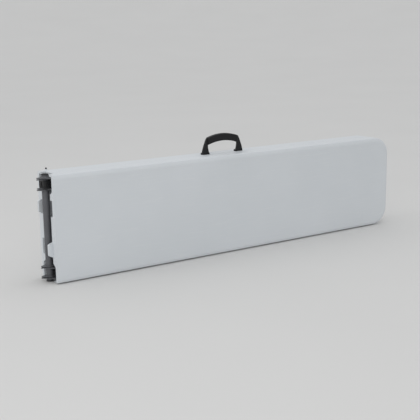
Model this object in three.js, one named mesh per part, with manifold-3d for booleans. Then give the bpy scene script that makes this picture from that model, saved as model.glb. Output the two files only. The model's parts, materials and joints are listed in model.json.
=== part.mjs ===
// A narrow fold-in-half table, of bench proportions, standing folded on one long edge.
// Two blow-moulded halves turn on a steel tube at the seam. Each half carries two steel rails, a
// cross rail, a splayed leg frame and a pair of brace arms whose sleeves slide along its uprights.
//
// Millimetres, +Z up. X runs from the seam to the outer ends, Y from the front half to the rear
// half, and the halves meet on the plane Y = 0. Every sub-part of a half is drawn for the rear
// half, and the front half is its mirror image with its own rail height, tongue and socket.
import * as THREE from "three";
import { mergeVertices } from "three/addons/utils/BufferGeometryUtils.js";
import Module from "manifold-3d";

const wasm = await Module();
wasm.setup();

// Overall sizes.
const HALF_LENGTH = 1219;
const WIDTH = 295.5;
const OPEN_HEIGHT = 432;

// Moulded halves: a hollow slab with a rim on three sides.
const SLAB = 23;
const SKIN = 2.5;
const RIM = 8;
const CORNER_R = 60;
const EDGE_R = 11;
const SEAM_GAP = 0.5;
const MATE_GAP = 0.3;
const CAVITY_START = 70;
const VENT_R = 4;
const VENT_X = 640;

// Tongue and socket that line the two halves up when the table lies open.
const TONGUE_LOW_Z = 92;
const TONGUE_WIDTH = 30;
const TONGUE_CHAMFER = 5;
const TONGUE_REACH = 12;
const TONGUE_ROOT = 10;
const TONGUE_RAISE = 4;
const TONGUE_DEPTH = 7.8;
const SOCKET_SIDE_GAP = 3;
const SOCKET_DEPTH = 10.9;

// Hinge pockets in the end faces.
const POCKET_MARGIN_OUT = 5.5;
const POCKET_MARGIN_IN = 1;
const POCKET_SLOPE = 9;
const POCKET_LENGTH = 46;
const POCKET_DEPTH = 13;

// Steel rails, one along each long side of each half.
const RAIL_WIDTH = 25.4;
const RAIL_PAST_BRACE = 30;
const RAIL_WALL = 1.3;
const RAIL_MATE_GAP = 1.5;
const RAIL_SLAB_GAP = 0.5;
const CROSS_RAIL_SETBACK = 2;
const CROSS_RAIL_RIVET_GAP = 1;
const FIT_GAP = 0.3;

// Hinge tube, plates, block and caps.
const HINGE_TUBE_R = 9.5;
const TUBE_WALL = 1.3;
const RUNNING_GAP = 0.4;
const PLATE = 2;
const PLATE_SPACING = 2;
const NOSE_LENGTH = 11;
const NOSE_HALF_TIP = 1.5;
const PLATE_LENGTH = 104;
const RIVET_R = 2.5;
const RIVET_HEAD_R = 5;
const RIVET_HEAD = 1.7;
const RIVET_PLAY = 0.2;
const RIVET_RIM_GAP = 1.1;
const RIVET_XS = [54, 88];
const BLOCK_FRONT_Y = 22;
const BLOCK_REAR_Y = 16.5;
const BLOCK_CORNER = 5;
const TUBE_END_GAP = 4;
const CAP_HEIGHT = 2.5;
const CAP_PLUG = 12;

// Leg frames.
const OPEN_ANGLE = 70;
const LEG_MATE_GAP = 0.5;
const PIVOT_R = 8;
const UPRIGHT_R = 10;
const UPRIGHT_START = 4;
const SHOE_WALL = 2.5;
const FOOT_SETBACK = 58.7;
const FOOT_INSET = 12;
const FOOT_WRAP = 30;
const FOOT_END = 3.7;

// Brace arms, sleeves and their lock.
const BRACE = 172;
const ARM = 3;
const ARM_HALF_WIDTH = 8;
const ARM_END = 9;
const ARM_SIDE_GAP = 0.8;
const SLEEVE_WALL = 1.9;
const SLEEVE_HALF = 25;
const SLEEVE_GAP = 0.5;
const BOLT_R = 4;
const BOLT_HEAD_R = 7;
const BOLT_HEAD = 1.8;
const LOCK_OFFSET = 18;
const LOCK_STEM_R = 3;
const LOCK_KNOB_R = 7;
const LOCK_KNOB = 11;

// Carry handle on the rear half's upper edge: a flat bail with a thicker grip.
const HANDLE_OFF_MIDDLE = 33.8;
const HANDLE_LENGTH = 146;
const HANDLE_RISE = 58;
const HANDLE_GRIP = 21;
const HANDLE_GRIP_DEPTH = 14;
const HANDLE_GRIP_ROUND = 4;
const HANDLE_FOOT = 25.8;
const HANDLE_FOOT_DEPTH = 12;
const HANDLE_FOOT_PAD = 5;
const HANDLE_SHOULDER_INSET = 18;
const HANDLE_SHOULDER_RISE = 48.5;
const HANDLE_WAIST_INSET = 19.5;
const HANDLE_WAIST_RISE = 27.5;
const HANDLE_PLATE = 7;
const HANDLE_PLATE_ROUND = 1.5;
const HANDLE_Y = 5;
const SCREW_R = 1.5;
const SCREW_HEAD_R = 3.6;
const SCREW_HEAD = 3;
const SCREW_BITE = 12;
const EDGE_SCREW_X = 23;
const EDGE_SCREW_INSET = 6.8;
const EDGE_SCREW_HEAD = 4;
const EDGE_SCREW_R = 1.2;
const EDGE_SCREW_HEAD_R = 2.3;
const EDGE_SCREW_LENGTH = 14;
const EDGE_BOSS = 3;
const EDGE_BOSS_R = 3;

const ROUND = 16;
const SMALL_ROUND = 8;

// Depths: the folded leg sets how deep the rim stands round it.
const FOOT_R = UPRIGHT_R + SHOE_WALL;
const SLEEVE_R = UPRIGHT_R + SLEEVE_GAP + SLEEVE_WALL;
const LEG_Y = LEG_MATE_GAP + FOOT_R;
const HALF_DEPTH = LEG_Y + FOOT_R + FIT_GAP + SLAB;
const RAIL_TOP_Y = HALF_DEPTH - SLAB - RAIL_SLAB_GAP;

// The hinge end: the front half's plates lie outside the rear half's.
const SHOULDER = HINGE_TUBE_R + 3.5;
const NOSE_REACH = SHOULDER + NOSE_LENGTH;
const RIM_SETBACK = HINGE_TUBE_R + 4.5;
const CAP_R = HINGE_TUBE_R + 0.7;
const BLOCK_HALF_X = HINGE_TUBE_R + 2.5;
const RAIL_START = NOSE_REACH + 6;
const FRONT_RAIL_Z = RIM + RIVET_RIM_GAP + RIVET_HEAD + RIVET_PLAY + PLATE + FIT_GAP;
const REAR_RAIL_Z = FRONT_RAIL_Z + PLATE + PLATE_SPACING;
const POCKET_Z0 = FRONT_RAIL_Z - FIT_GAP - PLATE - POCKET_MARGIN_OUT;
const POCKET_Z1 = REAR_RAIL_Z + RAIL_WIDTH + FIT_GAP + PLATE + POCKET_MARGIN_IN;

// Places along a half that follow from the sizes above.
const LEG_LENGTH =
  (OPEN_HEIGHT - (HALF_DEPTH - LEG_Y) - FOOT_R) / Math.sin(THREE.MathUtils.degToRad(OPEN_ANGLE));
const FOOT_X = HALF_LENGTH - FOOT_SETBACK;
const LEG_X = FOOT_X - LEG_LENGTH;
const BRACE_X = LEG_X + BRACE;
const SLEEVE_X = LEG_X + 2 * BRACE;
const OPEN_SLEEVE = 2 * BRACE * Math.cos(THREE.MathUtils.degToRad(OPEN_ANGLE));
const RAIL_END = BRACE_X + RAIL_PAST_BRACE;
const PIVOT_INSET = RIM + 1.3;
const HANDLE_X = HALF_LENGTH / 2 - HANDLE_OFF_MIDDLE;
const EDGE_SCREW_Y = HALF_DEPTH - EDGE_SCREW_INSET;
const HANDLE_SCREW_OFFSET = (HANDLE_LENGTH - HANDLE_FOOT) / 2;
const HANDLE_SCREW_XS = [HANDLE_X - HANDLE_SCREW_OFFSET, HANDLE_X + HANDLE_SCREW_OFFSET];

// Colours and surfaces.
const plastic = (colour) => new THREE.MeshStandardMaterial({ color: colour, roughness: 0.5 });
const steel = (colour, roughness) =>
  new THREE.MeshStandardMaterial({ color: colour, roughness, metalness: 0.6 });
const GREY_PLASTIC = plastic(0xcdd0d3);
const BLACK_PLASTIC = plastic(0x1c1c1f);
const RUBBER = new THREE.MeshStandardMaterial({ color: 0x202022, roughness: 0.8 });
const GREY_STEEL = steel(0x4b4c50, 0.45);
const ZINC = steel(0xa5a6a8, 0.35);

// A three.js geometry as a manifold-3d solid.
function solid(geometry) {
  const bare = geometry.index ? geometry.toNonIndexed() : geometry.clone();
  bare.deleteAttribute("normal");
  bare.deleteAttribute("uv");
  const merged = mergeVertices(bare, 1e-4);
  return new wasm.Manifold(
    new wasm.Mesh({
      numProp: 3,
      vertProperties: new Float32Array(merged.attributes.position.array),
      triVerts: new Uint32Array(merged.index.array),
    }),
  );
}

// A manifold-3d solid as a named three.js mesh.
function part(name, shape, material) {
  const { numProp, numVert, vertProperties, triVerts } = shape.getMesh();
  const points = new Float32Array(numVert * 3);
  for (let i = 0; i < numVert; i++) {
    points.set(vertProperties.subarray(i * numProp, i * numProp + 3), i * 3);
  }
  const geometry = new THREE.BufferGeometry();
  geometry.setAttribute("position", new THREE.BufferAttribute(points, 3));
  geometry.setIndex(new THREE.BufferAttribute(triVerts, 1));
  geometry.computeVertexNormals();
  const mesh = new THREE.Mesh(geometry, material.clone());
  mesh.name = name;
  return mesh;
}

function box([x0, x1], [y0, y1], [z0, z1]) {
  const geometry = new THREE.BoxGeometry(x1 - x0, y1 - y0, z1 - z0);
  geometry.translate((x0 + x1) / 2, (y0 + y1) / 2, (z0 + z1) / 2);
  return solid(geometry);
}

function rodX(radius, [x0, x1], y, z, sides = ROUND) {
  const geometry = new THREE.CylinderGeometry(radius, radius, x1 - x0, sides);
  geometry.rotateZ(-Math.PI / 2);
  geometry.translate((x0 + x1) / 2, y, z);
  return solid(geometry);
}

function rodY(radius, x, [y0, y1], z, sides = ROUND) {
  const geometry = new THREE.CylinderGeometry(radius, radius, y1 - y0, sides);
  geometry.translate(x, (y0 + y1) / 2, z);
  return solid(geometry);
}

function rodZ(radius, x, y, [z0, z1], sides = ROUND) {
  const geometry = new THREE.CylinderGeometry(radius, radius, z1 - z0, sides);
  geometry.rotateX(Math.PI / 2);
  geometry.translate(x, y, (z0 + z1) / 2);
  return solid(geometry);
}

// Extrusions: alongX takes an outline in (y, z), alongY one in (z, x) and alongZ one in (x, y).
function alongX(shape, [x0, x1]) {
  const geometry = new THREE.ExtrudeGeometry(shape, { depth: x1 - x0, bevelEnabled: false });
  const turn = new THREE.Matrix4().makeBasis(
    new THREE.Vector3(0, 1, 0),
    new THREE.Vector3(0, 0, 1),
    new THREE.Vector3(1, 0, 0),
  );
  geometry.applyMatrix4(turn);
  geometry.translate(x0, 0, 0);
  return solid(geometry);
}

function alongY(shape, [y0, y1], round = 0, steps = 3, curveSegments = 8) {
  const geometry = new THREE.ExtrudeGeometry(shape, {
    depth: y1 - y0 - 2 * round,
    bevelEnabled: round > 0,
    bevelThickness: round,
    bevelSize: round,
    bevelOffset: -round,
    bevelSegments: steps,
    curveSegments,
  });
  const turn = new THREE.Matrix4().makeBasis(
    new THREE.Vector3(0, 0, 1),
    new THREE.Vector3(1, 0, 0),
    new THREE.Vector3(0, 1, 0),
  );
  geometry.applyMatrix4(turn);
  geometry.translate(0, y0 + round, 0);
  return solid(geometry);
}

function alongZ(shape, [z0, z1]) {
  const geometry = new THREE.ExtrudeGeometry(shape, {
    depth: z1 - z0,
    bevelEnabled: false,
    curveSegments: 8,
  });
  geometry.translate(0, 0, z0);
  return solid(geometry);
}

function outline(points) {
  return new THREE.Shape(points.map(([a, b]) => new THREE.Vector2(a, b)));
}

// Places on the lower long side, or their mirror images on the upper one.
const sideOf = (side, [z0, z1]) => (side === "lower" ? [z0, z1] : [WIDTH - z1, WIDTH - z0]);

// The outline of a half seen from its face, in (z, x), drawn in from its edges by inset.
function faceOutline(inset, startX, cornerRadius) {
  const low = inset;
  const high = WIDTH - inset;
  const end = HALF_LENGTH - inset;
  const r = cornerRadius;
  const shape = new THREE.Shape();
  shape.moveTo(low, startX);
  shape.lineTo(high, startX);
  shape.lineTo(high, end - r);
  shape.absarc(high - r, end - r, r, 0, Math.PI / 2, false);
  shape.lineTo(low + r, end);
  shape.absarc(low + r, end - r, r, Math.PI / 2, Math.PI, false);
  shape.lineTo(low, startX);
  return shape;
}

// The tongue reaches back across the seam, and the other half's socket is a gap wider all round.
function tongue(centreZ) {
  const tip = TONGUE_WIDTH / 2;
  const foot = tip + TONGUE_CHAMFER;
  const shape = outline([
    [centreZ - foot, TONGUE_ROOT],
    [centreZ - foot, 0],
    [centreZ - tip, -TONGUE_REACH],
    [centreZ + tip, -TONGUE_REACH],
    [centreZ + foot, 0],
    [centreZ + foot, TONGUE_ROOT],
  ]);
  const low = HALF_DEPTH - SLAB - TONGUE_RAISE;
  return alongY(shape, [low, low + TONGUE_DEPTH]);
}

function socket(centreZ) {
  const tip = TONGUE_WIDTH / 2 + SOCKET_SIDE_GAP;
  const foot = tip + TONGUE_CHAMFER;
  const shape = outline([
    [centreZ - foot, -1],
    [centreZ + foot, -1],
    [centreZ + tip, TONGUE_REACH + SOCKET_SIDE_GAP],
    [centreZ - tip, TONGUE_REACH + SOCKET_SIDE_GAP],
  ]);
  const inner = HALF_DEPTH - SLAB;
  return alongY(shape, [inner - 1, inner + SOCKET_DEPTH]);
}

// The pocket that a hinge bracket stands in: square at the long edge, sloped towards the middle.
function hingePocket(side) {
  const floor = HALF_DEPTH - SLAB + POCKET_DEPTH;
  const z = (value) => (side === "lower" ? value : WIDTH - value);
  const shape = outline([
    [HALF_DEPTH - SLAB - 1, z(POCKET_Z0)],
    [floor, z(POCKET_Z0)],
    [floor, z(POCKET_Z1)],
    [HALF_DEPTH - SLAB - 1, z(POCKET_Z1 + POCKET_SLOPE)],
  ]);
  return alongX(shape, [-1, POCKET_LENGTH]);
}

// One moulded half: a hollow slab, a rim round three sides and an open seam end.
function panel(tongueZ, socketZ) {
  const inner = HALF_DEPTH - SLAB;
  const blank = alongY(faceOutline(0, -4 * EDGE_R, CORNER_R), [-3 * EDGE_R, HALF_DEPTH], EDGE_R);
  const keep = box([SEAM_GAP, HALF_LENGTH + 1], [MATE_GAP, HALF_DEPTH + 1], [-1, WIDTH + 1]);
  const recess = alongY(faceOutline(RIM, -4 * EDGE_R, CORNER_R - RIM), [-1, inner]);
  const setback = box([-1, RIM_SETBACK], [-1, inner], [-1, WIDTH + 1]);
  const cavityInset = RIM + SKIN;
  const cavity = alongY(
    faceOutline(cavityInset, CAVITY_START, CORNER_R - cavityInset),
    [inner + SKIN, HALF_DEPTH - SKIN],
  );
  const vent = rodY(VENT_R, VENT_X, [inner - 1, inner + SKIN + 1], WIDTH / 2, SMALL_ROUND);
  return blank
    .intersect(keep)
    .subtract(recess)
    .subtract(setback)
    .subtract(hingePocket("lower"))
    .subtract(hingePocket("upper"))
    .subtract(socket(socketZ))
    .add(tongue(tongueZ))
    .subtract(cavity)
    .subtract(vent);
}

// A rectangular steel tube with holes for the rivets, the leg pivot and the brace bolt.
function rail(side, railZ) {
  const z = [railZ, railZ + RAIL_WIDTH];
  const across = [railZ - 1, railZ + RAIL_WIDTH + 1];
  const y = [RAIL_MATE_GAP, RAIL_TOP_Y];
  const inside = box(
    [RAIL_START - 1, RAIL_END + 1],
    [y[0] + RAIL_WALL, y[1] - RAIL_WALL],
    sideOf(side, [z[0] + RAIL_WALL, z[1] - RAIL_WALL]),
  );
  let shape = box([RAIL_START, RAIL_END], y, sideOf(side, z)).subtract(inside);
  for (const x of RIVET_XS) {
    shape = shape.subtract(rodZ(RIVET_R + FIT_GAP, x, LEG_Y, sideOf(side, across), SMALL_ROUND));
  }
  shape = shape.subtract(rodZ(PIVOT_R + RUNNING_GAP, LEG_X, LEG_Y, sideOf(side, across)));
  return shape.subtract(rodZ(BOLT_R + RUNNING_GAP, BRACE_X, LEG_Y, sideOf(side, across)));
}

// A rectangular steel tube from one hinge bracket to the other, beside the seam.
function crossRail(railZ) {
  const x = [RAIL_START + CROSS_RAIL_SETBACK, RIVET_XS[0] - RIVET_HEAD_R - CROSS_RAIL_RIVET_GAP];
  const y = [RAIL_MATE_GAP, RAIL_TOP_Y];
  const end = railZ + RAIL_WIDTH + FIT_GAP + PLATE + FIT_GAP;
  const inside = box(
    [x[0] + RAIL_WALL, x[1] - RAIL_WALL],
    [y[0] + RAIL_WALL, y[1] - RAIL_WALL],
    [end - 1, WIDTH - end + 1],
  );
  return box(x, y, [end, WIDTH - end]).subtract(inside);
}

// A moulded plug that closes the rail's end beside the hinge.
function railPlug(side, railZ) {
  const play = RAIL_WALL + FIT_GAP;
  const flange = box(
    [RAIL_START - 3, RAIL_START - FIT_GAP],
    [RAIL_MATE_GAP, RAIL_TOP_Y],
    sideOf(side, [railZ, railZ + RAIL_WIDTH]),
  );
  const stem = box(
    [RAIL_START - 1, RAIL_START + 14],
    [RAIL_MATE_GAP + play, RAIL_TOP_Y - play],
    sideOf(side, [railZ + play, railZ + RAIL_WIDTH - play]),
  );
  return flange.add(stem);
}

// The outline of a hinge plate in (x, y): a blunt nose past the tube, a lobe in the slab's pocket
// and a long tail beside the rail.
function plateOutline() {
  const lobe = HALF_DEPTH - SLAB + POCKET_DEPTH - 1.3;
  return outline([
    [-NOSE_REACH, -NOSE_HALF_TIP],
    [-SHOULDER / 2, -SHOULDER],
    [SHOULDER - 4, -SHOULDER],
    [SHOULDER + 7, -2],
    [NOSE_REACH, 1],
    [PLATE_LENGTH, 1],
    [PLATE_LENGTH, RAIL_TOP_Y - 0.3],
    [POCKET_LENGTH - 4, RAIL_TOP_Y - 0.3],
    [POCKET_LENGTH - 10, lobe],
    [SHOULDER, lobe],
    [2, HALF_DEPTH - SLAB - 4],
    [-SHOULDER / 2, SHOULDER],
    [-NOSE_REACH, NOSE_HALF_TIP],
  ]);
}

// A folded bracket: two plates beside the rail, joined by a web on the pocket's floor.
function hingeBracket(side, railZ) {
  const low = railZ - FIT_GAP - PLATE;
  const high = railZ + RAIL_WIDTH + FIT_GAP;
  const lobe = HALF_DEPTH - SLAB + POCKET_DEPTH - 1.3;
  const web = box(
    [SHOULDER, POCKET_LENGTH - 10],
    [lobe - PLATE, lobe],
    sideOf(side, [low, high + PLATE]),
  );
  let shape = web;
  for (const z of [low, high]) {
    shape = shape.add(alongZ(plateOutline(), sideOf(side, [z, z + PLATE])));
  }
  const across = sideOf(side, [low - 1, high + PLATE + 1]);
  shape = shape.subtract(rodZ(HINGE_TUBE_R + RUNNING_GAP, 0, 0, across));
  for (const x of RIVET_XS) {
    shape = shape.subtract(rodZ(RIVET_R + FIT_GAP, x, LEG_Y, across, SMALL_ROUND));
  }
  return shape;
}

// A rivet through both plates and the rail between them.
function bracketRivet(side, railZ, x) {
  const low = railZ - FIT_GAP - PLATE;
  const high = railZ + RAIL_WIDTH + FIT_GAP + PLATE;
  const head = RIVET_HEAD + RIVET_PLAY;
  return rodZ(RIVET_R, x, LEG_Y, sideOf(side, [low - head, high + head]), SMALL_ROUND)
    .add(rodZ(RIVET_HEAD_R, x, LEG_Y, sideOf(side, [low - head, low - RIVET_PLAY]), SMALL_ROUND))
    .add(rodZ(RIVET_HEAD_R, x, LEG_Y, sideOf(side, [high + RIVET_PLAY, high + head]), SMALL_ROUND));
}

function tubeZ(radius, x, y, [z0, z1]) {
  return rodZ(radius, x, y, [z0, z1]).subtract(rodZ(radius - TUBE_WALL, x, y, [z0 - 1, z1 + 1]));
}

// A steel upright with its ends shaped round the pivot tube and the foot tube.
function upright(z, lockHole) {
  const x = [LEG_X + UPRIGHT_START, FOOT_X];
  let shape = rodX(UPRIGHT_R, x, LEG_Y, z)
    .subtract(rodX(UPRIGHT_R - TUBE_WALL, [x[0] - 1, x[1] + 1], LEG_Y, z))
    .subtract(rodZ(PIVOT_R + FIT_GAP, LEG_X, LEG_Y, [z - 20, z + 20]))
    .subtract(rodZ(UPRIGHT_R + FIT_GAP, FOOT_X, LEG_Y, [z - 20, z + 20]));
  if (lockHole) {
    const lockX = LEG_X + OPEN_SLEEVE + LOCK_OFFSET;
    shape = shape.subtract(rodZ(LOCK_STEM_R + 0.5, lockX, LEG_Y, [z - 20, z], SMALL_ROUND));
  }
  return shape;
}

// A rubber shoe: a cup that wraps the end of the foot tube and stands on the floor.
function footShoe(side) {
  return rodZ(FOOT_R, FOOT_X, LEG_Y, sideOf(side, [FOOT_INSET, FOOT_INSET + FOOT_WRAP])).subtract(
    rodZ(
      UPRIGHT_R + FIT_GAP,
      FOOT_X,
      LEG_Y,
      sideOf(side, [FOOT_INSET + FOOT_END, FOOT_INSET + FOOT_WRAP + 1]),
    ),
  );
}

// A flat steel arm with a hole at each end.
function braceArm(side, railInner) {
  const shape = new THREE.Shape();
  const ends = [BRACE_X - ARM_END + ARM_HALF_WIDTH, SLEEVE_X + ARM_END - ARM_HALF_WIDTH];
  shape.absarc(ends[1], LEG_Y, ARM_HALF_WIDTH, -Math.PI / 2, Math.PI / 2, false);
  shape.absarc(ends[0], LEG_Y, ARM_HALF_WIDTH, Math.PI / 2, 1.5 * Math.PI, false);
  const z = [railInner + ARM_SIDE_GAP, railInner + ARM_SIDE_GAP + ARM];
  const across = sideOf(side, [z[0] - 1, z[1] + 1]);
  return alongZ(shape, sideOf(side, z))
    .subtract(rodZ(BOLT_R + RUNNING_GAP, BRACE_X, LEG_Y, across))
    .subtract(rodZ(BOLT_R + RUNNING_GAP, SLEEVE_X, LEG_Y, across));
}

// The bolt that an arm turns on, through both walls of the rail.
function braceBolt(side, railZ) {
  const railInner = railZ + RAIL_WIDTH;
  const outer = railZ - FIT_GAP;
  const inner = railInner + ARM_SIDE_GAP + ARM + FIT_GAP;
  return rodZ(BOLT_R, BRACE_X, LEG_Y, sideOf(side, [outer - BOLT_HEAD, inner + BOLT_HEAD]))
    .add(rodZ(BOLT_HEAD_R, BRACE_X, LEG_Y, sideOf(side, [outer - BOLT_HEAD, outer]), 6))
    .add(rodZ(BOLT_HEAD_R - 1, BRACE_X, LEG_Y, sideOf(side, [inner, inner + BOLT_HEAD]), 6));
}

// A moulded sleeve that slides along an upright, with a headed boss for the arm.
function sleeve(side, railInner, uprightZ, lockHole) {
  const x = [SLEEVE_X - SLEEVE_HALF, SLEEVE_X + SLEEVE_HALF];
  const z = side === "lower" ? uprightZ : WIDTH - uprightZ;
  const head = [railInner - BOLT_HEAD + 0.3, railInner + 0.5];
  let shape = rodX(SLEEVE_R, x, LEG_Y, z)
    .add(rodZ(BOLT_R, SLEEVE_X, LEG_Y, sideOf(side, [head[0], uprightZ])))
    .add(rodZ(BOLT_HEAD_R - 1, SLEEVE_X, LEG_Y, sideOf(side, head)))
    .subtract(rodX(UPRIGHT_R + SLEEVE_GAP, [x[0] - 1, x[1] + 1], LEG_Y, z));
  if (lockHole) {
    const hole = sideOf(side, [uprightZ, uprightZ + SLEEVE_R + 1]);
    shape = shape.subtract(
      rodZ(LOCK_STEM_R + RUNNING_GAP, SLEEVE_X + LOCK_OFFSET, LEG_Y, hole, SMALL_ROUND),
    );
  }
  return shape;
}

// A pull knob whose stem drops into the upright when the leg stands open.
function lockKnob(uprightZ) {
  const x = SLEEVE_X + LOCK_OFFSET;
  const stem = [uprightZ + UPRIGHT_R + 0.4, uprightZ + SLEEVE_R + 2];
  const knob = [uprightZ + SLEEVE_R + 0.6, uprightZ + SLEEVE_R + 0.6 + LOCK_KNOB];
  return rodZ(LOCK_STEM_R, x, LEG_Y, sideOf("upper", stem), SMALL_ROUND)
    .add(rodZ(LOCK_KNOB_R, x, LEG_Y, sideOf("upper", knob), SMALL_ROUND));
}

// The rear half's panel, with holes in its upper edge for the handle's screws and the edge screw.
function drilledPanel(tongueZ, socketZ) {
  const through = [WIDTH - RIM - 1, WIDTH + 1];
  let shape = panel(tongueZ, socketZ);
  for (const x of HANDLE_SCREW_XS) {
    shape = shape.subtract(rodZ(SCREW_R + FIT_GAP, x, HANDLE_Y, through, SMALL_ROUND));
  }
  const boss = [WIDTH - EDGE_BOSS, WIDTH + EDGE_BOSS];
  const hole = [WIDTH - EDGE_SCREW_LENGTH - 1, WIDTH + EDGE_BOSS + 1];
  const holeR = EDGE_SCREW_R + FIT_GAP;
  return shape
    .add(rodZ(EDGE_BOSS_R, EDGE_SCREW_X, EDGE_SCREW_Y, boss))
    .subtract(rodZ(holeR, EDGE_SCREW_X, EDGE_SCREW_Y, hole, SMALL_ROUND));
}

// Everything that one half carries.
function half(name, railZ, shell) {
  const group = new THREE.Group();
  const railInner = railZ + RAIL_WIDTH;
  const uprightZ = railInner + ARM_SIDE_GAP + ARM + 1 + SLEEVE_R;
  group.add(part(name + "_panel", shell, GREY_PLASTIC));
  for (const side of ["lower", "upper"]) {
    const label = name + "_" + side + "_";
    const z = side === "lower" ? uprightZ : WIDTH - uprightZ;
    const locked = side === "upper";
    group.add(part(label + "rail", rail(side, railZ), GREY_STEEL));
    group.add(part(label + "rail_plug", railPlug(side, railZ), BLACK_PLASTIC));
    group.add(part(label + "hinge_bracket", hingeBracket(side, railZ), GREY_STEEL));
    RIVET_XS.forEach((x, i) => {
      group.add(part(label + "bracket_rivet_" + (i + 1), bracketRivet(side, railZ, x), ZINC));
    });
    group.add(part(label + "leg_upright", upright(z, locked), GREY_STEEL));
    group.add(part(label + "foot_shoe", footShoe(side), RUBBER));
    group.add(part(label + "brace_arm", braceArm(side, railInner), GREY_STEEL));
    group.add(part(label + "brace_bolt", braceBolt(side, railZ), ZINC));
    group.add(part(label + "brace_sleeve", sleeve(side, railInner, uprightZ, locked), BLACK_PLASTIC));
  }
  const pivot = tubeZ(PIVOT_R, LEG_X, LEG_Y, [PIVOT_INSET, WIDTH - PIVOT_INSET]);
  const footTube = tubeZ(UPRIGHT_R, FOOT_X, LEG_Y, [
    FOOT_INSET + FOOT_END + FIT_GAP,
    WIDTH - FOOT_INSET - FOOT_END - FIT_GAP,
  ]);
  group.add(part(name + "_cross_rail", crossRail(railZ), GREY_STEEL));
  group.add(part(name + "_leg_pivot_tube", pivot, GREY_STEEL));
  group.add(part(name + "_leg_foot_tube", footTube, GREY_STEEL));
  group.add(part(name + "_lock_knob", lockKnob(uprightZ), BLACK_PLASTIC));
  return group;
}

// The tube on the seam that both halves turn on, its end caps and the block inside one hinge.
function hinge() {
  const group = new THREE.Group();
  const tubeSpan = [TUBE_END_GAP, WIDTH - TUBE_END_GAP];
  group.add(part("hinge_tube", tubeZ(HINGE_TUBE_R, 0, 0, tubeSpan), GREY_STEEL));
  for (const side of ["lower", "upper"]) {
    const flange = [TUBE_END_GAP - FIT_GAP - CAP_HEIGHT, TUBE_END_GAP - FIT_GAP];
    const stem = [flange[1] - 1, flange[1] + CAP_PLUG];
    const cap = rodZ(CAP_R, 0, 0, sideOf(side, flange)).add(
      rodZ(HINGE_TUBE_R - TUBE_WALL - FIT_GAP, 0, 0, sideOf(side, stem)),
    );
    group.add(part("hinge_tube_" + side + "_cap", cap, BLACK_PLASTIC));
  }
  const low = WIDTH - (FRONT_RAIL_Z + RAIL_WIDTH + FIT_GAP) + FIT_GAP;
  const high = WIDTH - (REAR_RAIL_Z - FIT_GAP) - FIT_GAP;
  const x = BLOCK_HALF_X;
  const r = BLOCK_CORNER;
  const [y0, y1] = [-BLOCK_FRONT_Y + r, BLOCK_REAR_Y - r];
  const shape = new THREE.Shape();
  shape.absarc(x - r, y0, r, -Math.PI / 2, 0, false);
  shape.absarc(x - r, y1, r, 0, Math.PI / 2, false);
  shape.absarc(-x + r, y1, r, Math.PI / 2, Math.PI, false);
  shape.absarc(-x + r, y0, r, Math.PI, 1.5 * Math.PI, false);
  const bore = rodZ(HINGE_TUBE_R + RUNNING_GAP, 0, 0, [low - 1, high + 1]);
  const block = alongZ(shape, [low, high]).subtract(bore);
  group.add(part("hinge_block", block, BLACK_PLASTIC));
  return group;
}

// The bail's side view in (z, x), from the edge that it stands on: flared feet, waisted legs and
// an arch.
function bailOutline() {
  const half = HANDLE_LENGTH / 2;
  const shoulder = half - HANDLE_SHOULDER_INSET;
  const waist = half - HANDLE_WAIST_INSET;
  const x = (value) => HANDLE_X + value;
  const z = (value) => WIDTH + FIT_GAP + value;
  const low = HANDLE_WAIST_RISE;
  const high = HANDLE_SHOULDER_RISE;
  const underControl = 2 * (HANDLE_RISE - HANDLE_GRIP) - low;
  const overControl = 2 * HANDLE_RISE - high;
  const shape = new THREE.Shape();
  shape.moveTo(z(0), x(-half));
  shape.lineTo(z(0), x(-half + HANDLE_FOOT));
  shape.quadraticCurveTo(z(13), x(-waist), z(low), x(-waist));
  shape.quadraticCurveTo(z(underControl), x(0), z(low), x(waist));
  shape.quadraticCurveTo(z(13), x(waist), z(0), x(half - HANDLE_FOOT));
  shape.lineTo(z(0), x(half));
  shape.quadraticCurveTo(z(18), x(shoulder + 15.5), z(high - 4), x(shoulder + 3));
  shape.lineTo(z(high), x(shoulder));
  shape.quadraticCurveTo(z(overControl), x(0), z(high), x(-shoulder));
  shape.lineTo(z(high - 4), x(-shoulder - 3));
  shape.quadraticCurveTo(z(18), x(-shoulder - 15.5), z(0), x(-half));
  return shape;
}

// The grip's side view in (z, x): the arch between the shoulders, a little proud of the bail.
function gripOutline() {
  const shoulder = HANDLE_LENGTH / 2 - HANDLE_SHOULDER_INSET;
  const x = (value) => HANDLE_X + value;
  const z = (value) => WIDTH + FIT_GAP + value;
  const low = HANDLE_WAIST_RISE + 0.3;
  const high = HANDLE_SHOULDER_RISE;
  const shape = new THREE.Shape();
  shape.moveTo(z(high), x(-shoulder));
  shape.lineTo(z(low), x(-shoulder + 1.5));
  shape.quadraticCurveTo(z(2 * (HANDLE_RISE - HANDLE_GRIP) - low - 1), x(0), z(low), x(shoulder - 1.5));
  shape.lineTo(z(high), x(shoulder));
  shape.quadraticCurveTo(z(2 * HANDLE_RISE - high + 1), x(0), z(high), x(-shoulder));
  return shape;
}

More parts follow.
